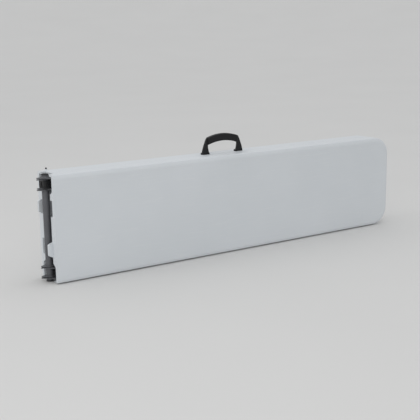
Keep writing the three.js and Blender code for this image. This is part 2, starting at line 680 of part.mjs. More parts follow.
// The carry handle, its two screws, and the screw in the rear half's edge beside the hinge.
function handle() {
  const group = new THREE.Group();
  const across = (depth) => [HANDLE_Y - depth / 2, HANDLE_Y + depth / 2];
  const under = WIDTH - RIM - FIT_GAP;
  const grip = alongY(gripOutline(), across(HANDLE_GRIP_DEPTH), HANDLE_GRIP_ROUND, 3, 10);
  let bail = alongY(bailOutline(), across(HANDLE_PLATE), HANDLE_PLATE_ROUND, 1, 8).add(grip);
  const padY = [across(HANDLE_PLATE)[0], across(HANDLE_PLATE)[0] + HANDLE_FOOT_DEPTH];
  const padZ = [WIDTH + FIT_GAP, WIDTH + FIT_GAP + HANDLE_FOOT_PAD];
  for (const x of HANDLE_SCREW_XS) {
    bail = bail.add(box([x - HANDLE_FOOT / 2 + 1, x + HANDLE_FOOT / 2 - 1], padY, padZ));
  }
  HANDLE_SCREW_XS.forEach((x, i) => {
    const hole = [WIDTH - 1, WIDTH + SCREW_BITE + 1];
    bail = bail.subtract(rodZ(SCREW_R + FIT_GAP, x, HANDLE_Y, hole, SMALL_ROUND));
    const screw = rodZ(SCREW_R, x, HANDLE_Y, [under - SCREW_HEAD, WIDTH + SCREW_BITE], SMALL_ROUND)
      .add(rodZ(SCREW_HEAD_R, x, HANDLE_Y, [under - SCREW_HEAD, under], SMALL_ROUND));
    group.add(part("handle_screw_" + (i + 1), screw, ZINC));
  });
  group.add(part("carry_handle", bail, BLACK_PLASTIC));
  const seat = WIDTH + EDGE_BOSS + FIT_GAP;
  const shank = [WIDTH - EDGE_SCREW_LENGTH, seat + 1];
  const head = [seat, seat + EDGE_SCREW_HEAD];
  const edgeScrew = rodZ(EDGE_SCREW_R, EDGE_SCREW_X, EDGE_SCREW_Y, shank, SMALL_ROUND)
    .add(rodZ(EDGE_SCREW_HEAD_R, EDGE_SCREW_X, EDGE_SCREW_Y, head, SMALL_ROUND));
  group.add(part("rear_edge_screw", edgeScrew, BLACK_PLASTIC));
  return group;
}

const table = new THREE.Group();
const rear = half("rear", REAR_RAIL_Z, drilledPanel(WIDTH - TONGUE_LOW_Z, TONGUE_LOW_Z));
const front = half("front", FRONT_RAIL_Z, panel(TONGUE_LOW_Z, WIDTH - TONGUE_LOW_Z));
front.scale.y = -1;
table.add(rear, front, hinge(), handle());
table.position.x = -(HALF_LENGTH - NOSE_REACH) / 2;

export default table;
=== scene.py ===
# A narrow fold-in-half table of bench proportions, folded and standing on one long edge: two
# blow-moulded halves on a steel hinge tube, with rails, splayed legs and sliding braces inside.
import json
from math import cos, pi, radians, sin, tau

import bmesh
import bpy
from mathutils import Matrix, Vector


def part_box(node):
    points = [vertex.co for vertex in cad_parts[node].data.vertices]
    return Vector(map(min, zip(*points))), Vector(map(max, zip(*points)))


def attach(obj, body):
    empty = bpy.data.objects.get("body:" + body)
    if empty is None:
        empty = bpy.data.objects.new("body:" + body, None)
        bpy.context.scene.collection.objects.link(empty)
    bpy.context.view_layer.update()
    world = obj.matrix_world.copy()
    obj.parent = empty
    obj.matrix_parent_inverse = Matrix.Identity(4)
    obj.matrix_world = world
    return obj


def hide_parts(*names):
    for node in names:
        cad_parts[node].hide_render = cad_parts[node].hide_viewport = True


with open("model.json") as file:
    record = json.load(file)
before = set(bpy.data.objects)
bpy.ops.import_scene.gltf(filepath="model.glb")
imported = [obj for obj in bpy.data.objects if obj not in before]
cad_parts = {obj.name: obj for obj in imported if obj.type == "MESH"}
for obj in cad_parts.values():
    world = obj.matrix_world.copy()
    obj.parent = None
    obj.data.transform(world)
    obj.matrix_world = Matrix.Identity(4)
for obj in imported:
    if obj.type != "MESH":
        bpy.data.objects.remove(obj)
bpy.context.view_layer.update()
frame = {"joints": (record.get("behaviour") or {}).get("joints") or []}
mm = 0.001

# Camera: a low view from beyond the hinge end, 0.68 m above the floor, through a long lens that
# keeps the two long edges nearly parallel.
camera = bpy.data.objects.new("camera", bpy.data.cameras.new("camera"))
bpy.context.scene.collection.objects.link(camera)
camera.data.sensor_width = 36
camera.data.lens = 75.45
camera.matrix_world = (
    Matrix.Translation((-1.5251, -2.1352, 0.6774))
    @ Matrix.Rotation(radians(-34.228), 4, "Z")
    @ Matrix.Rotation(radians(77.974), 4, "X")
    @ Matrix.Rotation(radians(-0.784), 4, "Z")
)
bpy.context.scene.camera = camera
bpy.context.scene.view_settings.view_transform = "Standard"

# Floor: a round seamless sweep of matt paper, flat under the table and rising slowly far out on
# every side. Matt fibre gives no shine, only a very faint cloudiness.
def linear(hex_colour):
    """A colour given as sRGB hex, turned to linear."""

    def curve(c):
        return c / 12.92 if c <= 0.04045 else ((c + 0.055) / 1.055) ** 2.4

    channels = [int(hex_colour[i : i + 2], 16) / 255 for i in (0, 2, 4)]
    return (*[curve(c) for c in channels], 1.0)


def surface(name, **settings):
    """A material whose one shader has these settings; returns the material and the shader."""
    material = bpy.data.materials.new(name)
    material.use_nodes = True
    shader = material.node_tree.nodes["Principled BSDF"]
    for socket, value in settings.items():
        shader.inputs[socket.replace("_", " ")].default_value = value
    return material, shader


def add(material, kind, links=None, inputs=None, **settings):
    """Adds a node: settings are its options, inputs its numbers, links its incoming sockets."""
    tree = material.node_tree
    node = tree.nodes.new(kind)
    for key, value in settings.items():
        setattr(node, key, value)
    for socket, value in (inputs or {}).items():
        node.inputs[socket].default_value = value
    for socket, source in (links or {}).items():
        tree.links.new(source, node.inputs[socket])
    return node


def join(material, source, shader, socket):
    material.node_tree.links.new(source, shader.inputs[socket])


paper, paper_shader = surface("sweep_paper", Roughness=0.95)
place = add(paper, "ShaderNodeTexCoord").outputs["Object"]
# Every pattern's scale counts its features in a metre: this cloudiness is 670 mm across.
cloud = add(paper, "ShaderNodeTexNoise", {"Vector": place}, {"Scale": 1.5, "Detail": 2.0})
paper_tone = add(
    paper,
    "ShaderNodeMixRGB",
    {"Fac": cloud.outputs["Fac"]},
    {"Color1": linear("D3D3D2"), "Color2": linear("D7D7D6")},
)
join(paper, paper_tone.outputs["Color"], paper_shader, "Base Color")

flat_radius, wall_radius, wall_rise = 6.0, 30.0, 10.0
steps, spokes = 24, 96
sweep_rings = [(flat_radius * 0.5, 0.0)]
for k in range(steps + 1):
    t = k / steps
    sweep_rings.append((flat_radius + (wall_radius - flat_radius) * t, wall_rise * t * t))
points = [(0.0, 0.0, 0.0)]
for radius, rise in sweep_rings:
    for k in range(spokes):
        points.append((radius * cos(tau * k / spokes), radius * sin(tau * k / spokes), rise))
faces = [(0, 1 + k, 1 + (k + 1) % spokes) for k in range(spokes)]
for ring in range(len(sweep_rings) - 1):
    for k in range(spokes):
        n = (k + 1) % spokes
        here, out = 1 + ring * spokes, 1 + (ring + 1) * spokes
        faces.append((here + k, out + k, out + n, here + n))
sweep_mesh = bpy.data.meshes.new("floor_sweep")
sweep_mesh.from_pydata(points, [], faces)
sweep_mesh.shade_smooth()
sweep_mesh.materials.append(paper)
sweep = bpy.data.objects.new("floor_sweep", sweep_mesh)
bpy.context.scene.collection.objects.link(sweep)

# Light: a bright white room, one wide soft lamp over the left shoulder of the camera and a
# weaker one from the left, which keeps the hinge end open.
world = bpy.data.worlds.new("studio")
bpy.context.scene.world = world
world.use_nodes = True
world.node_tree.nodes["Background"].inputs["Color"].default_value = (0.985, 0.99, 1.0, 1.0)
world.node_tree.nodes["Background"].inputs["Strength"].default_value = 0.85


def soft_lamp(name, place, target, width, power):
    lamp = bpy.data.lights.new(name, "AREA")
    lamp.shape = "DISK"
    lamp.size = width
    lamp.energy = power
    lamp.color = (1.0, 0.99, 0.975)
    holder = bpy.data.objects.new(name, lamp)
    bpy.context.scene.collection.objects.link(holder)
    holder.location = place
    holder.visible_camera = False
    holder.rotation_euler = (Vector(target) - Vector(place)).to_track_quat("-Z", "Y").to_euler()


soft_lamp("lamp_over_camera", (-2.4, -3.4, 2.0), (0, 0, 0.15), 2.6, 27)
soft_lamp("lamp_left", (-3.4, 0.4, 1.8), (-0.5, 0, 0.15), 1.8, 11)

# The two halves: blow-moulded high-density polyethylene, each one hollow skin. The outer edges have
# a wide eased bevel, a rim hides the rails and legs, and round wells stiffen the underside. The
# seam ends have pockets for the hinges, and a tongue and a socket that lock together when open.
polyethylene, polyethylene_shader = surface("blow_moulded_polyethylene", Roughness=0.5, IOR=1.54)
place = add(polyethylene, "ShaderNodeTexCoord").outputs["Object"]
# Resin colour drifts a little over a hand's width as the hot tube of plastic thins out.
drift = add(polyethylene, "ShaderNodeTexNoise", {"Vector": place}, {"Scale": 5.0, "Detail": 3.0})
skin = add(
    polyethylene,
    "ShaderNodeMixRGB",
    {"Fac": drift.outputs["Fac"]},
    {"Color1": linear("CDD2D6"), "Color2": linear("D7DBDF")},
)
# Faint rubbed streaks along the length, 2 mm wide and 60 mm long, from sliding on other tables.
stretched = add(polyethylene, "ShaderNodeMapping", {"Vector": place}, {"Scale": (16.0, 480.0, 480.0)})
rubs = add(
    polyethylene,
    "ShaderNodeTexNoise",
    {"Vector": stretched.outputs["Vector"]},
    {"Scale": 1.0, "Detail": 4.0},
)
rub_amount = add(
    polyethylene,
    "ShaderNodeMapRange",
    {"Value": rubs.outputs["Fac"]},
    {"From Min": 0.55, "From Max": 0.8, "To Min": 0.0, "To Max": 0.35},
)
rubbed = add(
    polyethylene,
    "ShaderNodeMixRGB",
    {"Fac": rub_amount.outputs["Result"], "Color1": skin.outputs["Color"]},
    {"Color2": linear("DEE1E3")},
)
join(polyethylene, rubbed.outputs["Color"], polyethylene_shader, "Base Color")
sheen_spread = add(
    polyethylene,
    "ShaderNodeMapRange",
    {"Value": drift.outputs["Fac"]},
    {"From Min": 0.3, "From Max": 0.7, "To Min": 0.44, "To Max": 0.56},
)
join(polyethylene, sheen_spread.outputs["Result"], polyethylene_shader, "Roughness")
# The mould's pebble grain is about 1.2 mm; it is drawn 2.5 mm wide so that it shows.
pebbles = add(
    polyethylene,
    "ShaderNodeTexVoronoi",
    {"Vector": place},
    {"Scale": 400.0, "Randomness": 1.0},
    feature="SMOOTH_F1",
)
# The flat skin sinks and swells by fractions of a millimetre over 120 mm.
swell = add(polyethylene, "ShaderNodeTexNoise", {"Vector": place}, {"Scale": 8.0, "Detail": 1.0})
swelling = add(
    polyethylene,
    "ShaderNodeBump",
    {"Height": swell.outputs["Fac"]},
    {"Strength": 0.25, "Distance": 0.0012},
)
grain = add(
    polyethylene,
    "ShaderNodeBump",
    {"Height": pebbles.outputs["Distance"], "Normal": swelling.outputs["Normal"]},
    {"Strength": 0.25, "Distance": 0.0002},
)
join(polyethylene, grain.outputs["Normal"], polyethylene_shader, "Normal")


def loft(bm, rings, closed=False):
    """Skins rings of equal length; closed also joins the last ring to the first."""
    pairs = list(zip(rings, rings[1:])) + ([(rings[-1], rings[0])] if closed else [])
    for one, two in pairs:
        for k in range(len(one)):
            n = (k + 1) % len(one)
            bm.faces.new((one[k], one[n], two[n], two[k]))


def turned(bm, profile, start, axis, sides=64, closed=False):
    """Turns a profile of (radius, distance along the axis) about an axis through start."""
    axis = Vector(axis).normalized()
    across = axis.orthogonal().normalized()
    beside = axis.cross(across)
    rings = []
    for radius, along in profile:
        centre = Vector(start) + axis * along
        ring = []
        for k in range(sides):
            out = across * cos(tau * k / sides) + beside * sin(tau * k / sides)
            ring.append(bm.verts.new(centre + out * radius))
        rings.append(ring)
    loft(bm, rings, closed)


def prism(bm, outline, holes, place, low, high):
    """A plate cut to an outline with holes; place turns (a, b, depth) into a point."""
    edges = []
    for line in (outline, *holes):
        verts = [bm.verts.new(place(a, b, low)) for a, b in line]
        edges += [bm.edges.new(pair) for pair in zip(verts, verts[1:] + verts[:1])]
    filled = bmesh.ops.triangle_fill(bm, edges=edges, use_beauty=True)
    faces = [g for g in filled["geom"] if isinstance(g, bmesh.types.BMFace)]
    grown = bmesh.ops.extrude_face_region(bm, geom=faces, use_keep_orig=True)
    step = Vector(place(0, 0, high)) - Vector(place(0, 0, low))
    moved = [g for g in grown["geom"] if isinstance(g, bmesh.types.BMVert)]
    bmesh.ops.translate(bm, verts=moved, vec=step)


def softened(points, radius, steps=5):
    """An outline with each corner drawn as a small curve; radius is one number or one each."""
    line = []
    for i, corner in enumerate(points):
        reach = radius[i] if isinstance(radius, list) else radius
        corner = Vector(corner)
        back = Vector(points[i - 1]) - corner
        ahead = Vector(points[(i + 1) % len(points)]) - corner
        if reach == 0:
            line.append(tuple(corner))
            continue
        start = corner + back.normalized() * min(reach, back.length * 0.48)
        end = corner + ahead.normalized() * min(reach, ahead.length * 0.48)
        for k in range(steps + 1):
            t = k / steps
            line.append(tuple(start * (1 - t) ** 2 + corner * 2 * t * (1 - t) + end * t * t))
    return line


def body_of(name, bm):
    """A plain object from a bmesh, closed up and facing out."""
    bmesh.ops.remove_doubles(bm, verts=bm.verts[:], dist=1e-6)
    bmesh.ops.recalc_face_normals(bm, faces=bm.faces[:])
    mesh = bpy.data.meshes.new(name)
    bm.to_mesh(mesh)
    bm.free()
    piece = bpy.data.objects.new(name, mesh)
    bpy.context.scene.collection.objects.link(piece)
    return piece


def settle(piece):
    """Bakes a piece's modifiers into its mesh."""
    bpy.context.view_layer.update()
    shaped = piece.evaluated_get(bpy.context.evaluated_depsgraph_get())
    mesh = bpy.data.meshes.new_from_object(shaped)
    piece.modifiers.clear()
    piece.data = mesh


def carve(piece, tool, operation="DIFFERENCE"):
    """Cuts a tool out of a piece, or joins it on, and throws the tool away."""
    step = piece.modifiers.new("carve", "BOOLEAN")
    step.operation = operation
    step.solver = "EXACT"
    step.object = tool
    settle(piece)
    bpy.data.objects.remove(tool)


def ease(piece, width, segments=2, angle=40):
    """Eases the sharp edges by a small round."""
    step = piece.modifiers.new("ease", "BEVEL")
    step.width = width
    step.segments = segments
    step.limit_method = "ANGLE"
    step.angle_limit = radians(angle)
    step.use_clamp_overlap = True
    settle(piece)


def mount(piece, material, body, nodes=(), sharp=38):
    """Gives a piece its finish and puts it on its body in place of its CAD nodes."""
    piece.data.materials.clear()
    piece.data.materials.append(material)
    piece.data.shade_smooth()
    piece.data.set_sharp_from_angle(angle=radians(sharp))
    weigh = piece.modifiers.new("even shading", "WEIGHTED_NORMAL")
    weigh.keep_sharp = True
    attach(piece, body)
    if nodes:
        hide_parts(*nodes)


axis_x = frame["joints"][0]["pos_m"][0]
outer_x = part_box("rear_panel")[1].x
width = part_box("front_panel")[1].z
seam_x = axis_x + 0.5 * mm
half_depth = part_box("rear_panel")[1].y
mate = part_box("rear_panel")[0].y
slab = 23 * mm
under = half_depth - slab
corner = 60 * mm
corner_steps = 16
rim = 8 * mm
# The section of an edge, from the bevel's inner line round to the floor of the underside. First in
# millimetres: (inset from the edge, depth below the outer face, lift of the lower long edge). The
# lower edge is undercut behind its bevel. Then the rim's rows, with y in place of the depth.
edge_profile = [(13, 0, 0), (11.5, 0.08, 0), (9.5, 0.45, 0), (3.4, 2.2, 0.8), (1.7, 3.0, 2.4)]
edge_profile += [(0.7, 4.0, 3.6), (0.15, 5.4, 4.2), (0, 7, 4.4), (0, 26, 4.4), (0, 29, 3.4), (0, 30, 0)]
edge_profile = [(inset * mm, half_depth - drop * mm, lift * mm) for inset, drop, lift in edge_profile]
edge_profile += [(0, mate + 2.2 * mm, 0), (0.35 * mm, mate + 0.9 * mm, 0), (0.9 * mm, mate + 0.3 * mm, 0)]
edge_profile += [(1.8 * mm, mate, 0), (rim - 1.2 * mm, mate, 0), (rim - 0.4 * mm, mate + 0.35 * mm, 0)]
edge_profile += [(rim, mate + 1.2 * mm, 0), (rim + 0.4 * mm, under - 4 * mm, 0)]
edge_profile += [(rim + 1.3 * mm, under - 1.4 * mm, 0), (rim + 3 * mm, under - 0.3 * mm, 0)]
edge_profile += [(rim + 5 * mm, under, 0)]


def edge_line(bm, inset, y, lift):
    """One line round a half at an inset from its edges: square at the seam, round outside."""
    radius = corner - inset
    points = [(seam_x, inset + lift)]
    for middle, first in ((corner, -pi / 2), (width - corner, 0)):
        for k in range(corner_steps + 1):
            turn = first + pi / 2 * k / corner_steps
            raised = lift * max(0, -sin(turn)) ** 2
            points.append((outer_x - corner + radius * cos(turn), middle + radius * sin(turn) + raised))
    points.append((seam_x, width - inset))
    return [bm.verts.new((x, y, z)) for x, z in points]


def moulded_half(which, side, tongue_z, socket_z):
    """One half: side is 1 for the rear and -1 for the front, on either side of the seam."""
    bm = bmesh.new()
    lines = [edge_line(bm, inset, side * y, lift) for inset, y, lift in edge_profile]
    for one, two in zip(lines, lines[1:]):
        for k in range(len(one) - 1):
            bm.faces.new((one[k], one[k + 1], two[k + 1], two[k]))
    bm.faces.new(lines[0])
    bm.faces.new(lines[-1])
    bm.faces.new([line[0] for line in lines] + [line[-1] for line in reversed(lines)])
    half = body_of(which + "_moulding", bm)

    def end_cut(outline, x0, x1):
        """A cutter with an outline in (y, z)."""
        bm = bmesh.new()
        prism(bm, outline, [], lambda y, z, x: (x, side * y, z), x0, x1)
        return body_of("cutter", bm)

    def face_cut(outline, y0, y1):
        """A cutter with an outline in (x, z)."""
        bm = bmesh.new()
        prism(bm, outline, [], lambda x, z, y: (x, side * y, z), y0, y1)
        return body_of("cutter", bm)

    # The rim stops short of the seam, where the hinge tube lies.
    past_end, setback = seam_x - 5 * mm, axis_x + 14 * mm
    outside, above = -0.01, 0.4
    strip = [(past_end, outside), (setback, outside), (setback, above), (past_end, above)]
    carve(half, face_cut(strip, outside, under))
    # Hinge pockets: square beside the long edge, sloped towards the middle.
    for flip in (False, True):
        low, high, slope = 5.5 * mm, 46 * mm, 9 * mm
        mouth, floor = under - mm, under + 13 * mm
        line = [(mouth, low), (floor, low), (floor, high), (mouth, high + slope)]
        line = softened(line, [0, 3 * mm, 3 * mm, 0])
        if flip:
            line = [(y, width - z) for y, z in line]
        carve(half, end_cut(line, past_end, axis_x + 46 * mm))
    # Socket for the other half's tongue.
    tip, foot, reach, deep = 18 * mm, 23 * mm, 17 * mm, 10.9 * mm
    lip = axis_x - 2 * mm
    line = [
        (lip, socket_z - foot),
        (lip, socket_z + foot),
        (axis_x + reach, socket_z + tip),
        (axis_x + reach, socket_z - tip),
    ]
    carve(half, face_cut(softened(line, [0, 0, 3 * mm, 3 * mm]), under - mm, under + deep))
    # Round wells in the underside, 15 mm deep with a rolled lip.
    bm = bmesh.new()
    well = [(0, -0.6), (17.2, -0.6), (17, 0.02), (15.6, 0.3), (14.2, 1.1), (13.3, 2.4), (12.6, 4)]
    well += [(10.4, 12.4), (9.6, 14), (8.2, 14.8), (6, 15), (0, 15)]
    well = [(radius * mm, depth * mm) for radius, depth in well]
    first, pitch, row_gap, columns = 86, 64, 68 * mm, 17
    for z, stagger in ((width / 2 - row_gap, 0), (width / 2, pitch / 2), (width / 2 + row_gap, 0)):
        for k in range(columns):
            x = axis_x + (first + pitch * k + stagger) * mm
            if x < outer_x - corner:
                turned(bm, well, (x, side * under, z), (0, side, 0), 28)
    carve(half, body_of("wells", bm))
    # The tongue reaches back over the hinge tube.
    tip, foot, reach, root = 15 * mm, 20 * mm, 12 * mm, 10 * mm
    line = [
        (axis_x + root, tongue_z - foot),
        (axis_x, tongue_z - foot),
        (axis_x - reach, tongue_z - tip),
        (axis_x - reach, tongue_z + tip),
        (axis_x, tongue_z + foot),
        (axis_x + root, tongue_z + foot),
    ]
    line = softened(line, [0, 2 * mm, 3 * mm, 3 * mm, 2 * mm, 0])
    tongue_top, tongue_root = under - 4 * mm, under + 3.8 * mm
    carve(half, face_cut(line, tongue_top, tongue_root), "UNION")
    # A small boss on the rear half's upper edge, for the screw beside the hinge.
    if side > 0:
        low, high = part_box("rear_edge_screw")
        boss = [(0, -3), (3, -3), (3, 2.5), (2.5, 3), (1.5, 3), (1.5, -2), (0, -2)]
        bm = bmesh.new()
        at = ((low.x + high.x) / 2, (low.y + high.y) / 2, width)
        turned(bm, [(r * mm, h * mm) for r, h in boss], at, (0, 0, 1), 24)
        carve(half, body_of("screw_boss", bm), "UNION")
    ease(half, 0.7 * mm, 2, 48)
    mount(half, polyethylene, which + "_half", [which + "_panel"], 42)


# Each half's tongue is near one long edge and its socket near the other.
key_z = 92 * mm
moulded_half("rear", 1, width - key_z, key_z)
moulded_half("front", -1, key_z, width - key_z)

# Rail screws: zinc-plated steel pan heads that draw each rail down on the slab through its
# floor, five in each rail, spread out along it.
zinc, zinc_shader = surface("zinc_plated_steel", Metallic=1.0, Roughness=0.34)
place = add(zinc, "ShaderNodeTexCoord").outputs["Object"]
# Bright zinc is cloudy over a few millimetres and dulls where it has been handled.
bloom = add(zinc, "ShaderNodeTexNoise", {"Vector": place}, {"Scale": 260.0, "Detail": 4.0})
bright = add(
    zinc,
    "ShaderNodeMixRGB",
    {"Fac": bloom.outputs["Fac"]},
    {"Color1": linear("7C7E81"), "Color2": linear("C9CBCD")},
)
join(zinc, bright.outputs["Color"], zinc_shader, "Base Color")
dulling = add(
    zinc,
    "ShaderNodeMapRange",
    {"Value": bloom.outputs["Fac"]},
    {"From Min": 0.3, "From Max": 0.7, "To Min": 0.28, "To Max": 0.48},
)
join(zinc, dulling.outputs["Result"], zinc_shader, "Roughness")

# (radius, height) up a pan head, with the recess that the driver goes into.
pan_head = [(0, 1.05), (1.2, 1.05), (1.2, 0.5), (1.5, 0.5), (1.5, 1.04), (2.4, 0.9), (3.4, 0.5)]
pan_head = [(r * mm, h * mm) for r, h in pan_head + [(3.8, 0), (0, 0)]]
for half, side in (("rear", 1), ("front", -1)):
    bm = bmesh.new()
    for edge in ("lower", "upper"):
        low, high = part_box(f"{half}_{edge}_rail")
        face = low.y if side > 0 else high.y
        for share in (0.14, 0.3, 0.46, 0.62, 0.74):
            at = (low.x + share * (high.x - low.x), face, (low.z + high.z) / 2)
            turned(bm, pan_head, at, (0, -side, 0), 24)
    mount(body_of(f"{half}_rail_screws", bm), zinc, f"{half}_half")

# Rails: welded rectangular steel tube, 25 x 24 mm with rounded corners, one along each long side,
# powder coated. Baked powder leaves a slightly pebbled satin skin.
powder_coat, powder_shader = surface("grey_powder_coat", Roughness=0.42, IOR=1.5)
place = add(powder_coat, "ShaderNodeTexCoord").outputs["Object"]
# The coat's thickness, and so its shade and gloss, wanders over 70 mm.
tone = add(powder_coat, "ShaderNodeTexNoise", {"Vector": place}, {"Scale": 14.0, "Detail": 5.0})
coat = add(
    powder_coat,
    "ShaderNodeMixRGB",
    {"Fac": tone.outputs["Fac"]},
    {"Color1": linear("4F5054"), "Color2": linear("626367")},
)
join(powder_coat, coat.outputs["Color"], powder_shader, "Base Color")
# Orange peel of about 1 mm, drawn 2 mm wide so that it shows.
peel = add(powder_coat, "ShaderNodeTexNoise", {"Vector": place}, {"Scale": 500.0, "Detail": 2.0})
peel_bump = add(
    powder_coat,
    "ShaderNodeBump",
    {"Height": peel.outputs["Fac"]},
    {"Strength": 0.3, "Distance": 0.0003},
)
join(powder_coat, peel_bump.outputs["Normal"], powder_shader, "Normal")
satin = add(
    powder_coat,
    "ShaderNodeMapRange",
    {"Value": tone.outputs["Fac"]},
    {"From Min": 0.3, "From Max": 0.7, "To Min": 0.36, "To Max": 0.5},
)
join(powder_coat, satin.outputs["Result"], powder_shader, "Roughness")


def rounded_box_line(low, high, inset, radius, x):
    """A rectangle across a rail, with rounded corners."""
    line = [(low.y + inset, low.z + inset), (high.y - inset, low.z + inset)]
    line += [(high.y - inset, high.z - inset), (low.y + inset, high.z - inset)]
    return [(x, y, z) for y, z in softened(line, radius, 4)]


# (inset, corner radius, distance from the sawn end) round the wall of a rectangular tube.
tube_end = [(1.3, 1.5, 0), (0.4, 2.4, 0), (0, 2.6, 0.4)]
for half in ("rear", "front"):
    for edge in ("lower", "upper"):
        name = f"{half}_{edge}_rail"
        low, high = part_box(name)
        wall = [(inset, radius, low.x + back * mm) for inset, radius, back in tube_end]
        wall += [(inset, radius, high.x - back * mm) for inset, radius, back in reversed(tube_end)]
        bm = bmesh.new()
        rings = []
        for inset, radius, x in wall:
            line = rounded_box_line(low, high, inset * mm, radius * mm, x)
            rings.append([bm.verts.new(point) for point in line])
        loft(bm, rings, closed=True)
        mount(body_of(name + "_tube", bm), powder_coat, f"{half}_half", [name])

# Cross rails: the same steel tube cut to stand between the two hinge brackets of a half, which
# keeps the seam end stiff.
for half in ("rear", "front"):
    name = f"{half}_cross_rail"
    low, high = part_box(name)
    wall = [(inset, radius, low.z + back * mm) for inset, radius, back in tube_end]
    wall += [(inset, radius, high.z - back * mm) for inset, radius, back in reversed(tube_end)]
    bm = bmesh.new()
    rings = []
    for inset, radius, z in wall:
        inset = inset * mm
        line = [(low.x + inset, low.y + inset), (high.x - inset, low.y + inset)]
        line += [(high.x - inset, high.y - inset), (low.x + inset, high.y - inset)]
        rings.append([bm.verts.new((x, y, z)) for x, y in softened(line, radius * mm, 4)])
    loft(bm, rings, closed=True)
    mount(body_of(name + "_tube", bm), powder_coat, f"{half}_half", [name])

# Rail plugs: end plugs of black polypropylene with a domed face, moulded and pressed in to each
# rail's end beside the hinge.
black_plastic, black_shader = surface("black_polypropylene", Roughness=0.5, IOR=1.4)
place = add(black_plastic, "ShaderNodeTexCoord").outputs["Object"]
# The pigment is a shade thicker or thinner over 25 mm.
carbon = add(black_plastic, "ShaderNodeTexNoise", {"Vector": place}, {"Scale": 40.0, "Detail": 4.0})
black = add(
    black_plastic,
    "ShaderNodeMixRGB",
    {"Fac": carbon.outputs["Fac"]},
    {"Color1": linear("0A0A0C"), "Color2": linear("17171A")},
)
join(black_plastic, black.outputs["Color"], black_shader, "Base Color")
# Spark-eroded mould texture, about 0.5 mm, drawn 1.6 mm wide so that it shows.
eroded = add(black_plastic, "ShaderNodeTexNoise", {"Vector": place}, {"Scale": 620.0, "Detail": 3.0})
eroded_bump = add(
    black_plastic,
    "ShaderNodeBump",
    {"Height": eroded.outputs["Fac"]},
    {"Strength": 0.35, "Distance": 0.0002},
)
join(black_plastic, eroded_bump.outputs["Normal"], black_shader, "Normal")
polish = add(
    black_plastic,
    "ShaderNodeMapRange",
    {"Value": carbon.outputs["Fac"]},
    {"From Min": 0.3, "From Max": 0.7, "To Min": 0.42, "To Max": 0.58},
)
join(black_plastic, polish.outputs["Result"], black_shader, "Roughness")

for half in ("rear", "front"):
    for edge in ("lower", "upper"):
        name = f"{half}_{edge}_rail_plug"
        low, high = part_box(name)
        bm = bmesh.new()
        rings = []
        dome = [(8, 2, 0), (5, 3, 0.1), (2.2, 3, 0.5), (0.8, 3, 1.1), (0, 3, 2.0), (0, 3, 2.6), (2, 2, 2.7)]
        for inset, radius, depth in dome + [(2.2, 2, 9)]:
            line = rounded_box_line(low, high, inset * mm, radius * mm, low.x + depth * mm)
            rings.append([bm.verts.new(point) for point in line])
        loft(bm, rings)
        bm.faces.new(rings[0])
        bm.faces.new(rings[-1])
        mount(body_of(name + "_cap", bm), black_plastic, f"{half}_half", [name])

# Hinge brackets: two 2 mm plates and a web folded from one sheet, bored for the tube. The front
# half's plates lie outside the rear half's, and their outer bores are flared into a collar.
def circle(a, b, radius, sides=48):
    """A circle about (a, b), as an outline."""
    return [(a + radius * cos(tau * k / sides), b + radius * sin(tau * k / sides)) for k in range(sides)]


sheet = 2 * mm
bore = 9.8 * mm
for half, side in (("rear", 1), ("front", -1)):
    for edge in ("lower", "upper"):
        name = f"{half}_{edge}_hinge_bracket"
        low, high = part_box(name)
        lobe = max(abs(low.y), abs(high.y)) / mm
        line = [(-24, -1.5), (-6.5, -13), (9, -13), (20, -2), (24, 1), (104, 1), (104, 25), (42, 25)]
        line += [(36, lobe), (13, lobe), (2, 21.8), (-6.5, 13), (-24, 1.5)]
        soft = [1.2, 6, 4, 4, 6, 5, 5, 3, 4, 6, 5, 6, 1.2]
        line = softened([(x * mm, y * mm) for x, y in line], [r * mm for r in soft])
        bm = bmesh.new()
        for z0, z1 in ((low.z, low.z + sheet), (high.z - sheet, high.z)):
            prism(bm, line, [circle(0, 0, bore)], lambda x, y, z: (axis_x + x, side * y, z), z0, z1)
        web = [(14, lobe - 2), (35, lobe - 2), (35, lobe), (14, lobe)]
        web = [(x * mm, y * mm) for x, y in web]
        prism(bm, web, [], lambda x, y, z: (axis_x + x, side * y, z), low.z + mm, high.z - mm)
        bracket = body_of(name + "_pressing", bm)
        ease(bracket, 0.35 * mm, 2)
        mount(bracket, powder_coat, f"{half}_half", [name])
        if half == "front":
            bm = bmesh.new()
            flare = [(9.8, 0), (12.6, 0), (12.3, 0.5), (11.9, 1.2), (11.3, 2), (10.7, 2.6)]
            flare += [(10, 2.9), (9.8, 2.7)]
            base, up = (low.z, -1) if edge == "lower" else (high.z, 1)
            turned(bm, [(r * mm, h * mm) for r, h in flare], (axis_x, 0, base), (0, 0, up), closed=True)
            mount(body_of(name + "_collar", bm), powder_coat, "front_half")

# Bracket rivets: zinc-plated steel, headed on one side and set on the other, through the
# bracket's plates and the rail between them.
for half in ("rear", "front"):
    for edge in ("lower", "upper"):
        for number in (1, 2):
            name = f"{half}_{edge}_bracket_rivet_{number}"
            low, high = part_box(name)
            middle = (low + high) / 2
            head = [(0, 0), (1.6, 0.06), (3.2, 0.34), (4.4, 0.95), (5, 1.7), (2.5, 1.7)]
            head = [(r * mm, low.z + h * mm) for r, h in head]
            tail = [(r, low.z + high.z - z) for r, z in reversed(head)]
            bm = bmesh.new()
            turned(bm, head + tail, (middle.x, middle.y, 0), (0, 0, 1), 32)
            mount(body_of(name + "_set", bm), zinc, f"{half}_half", [name])

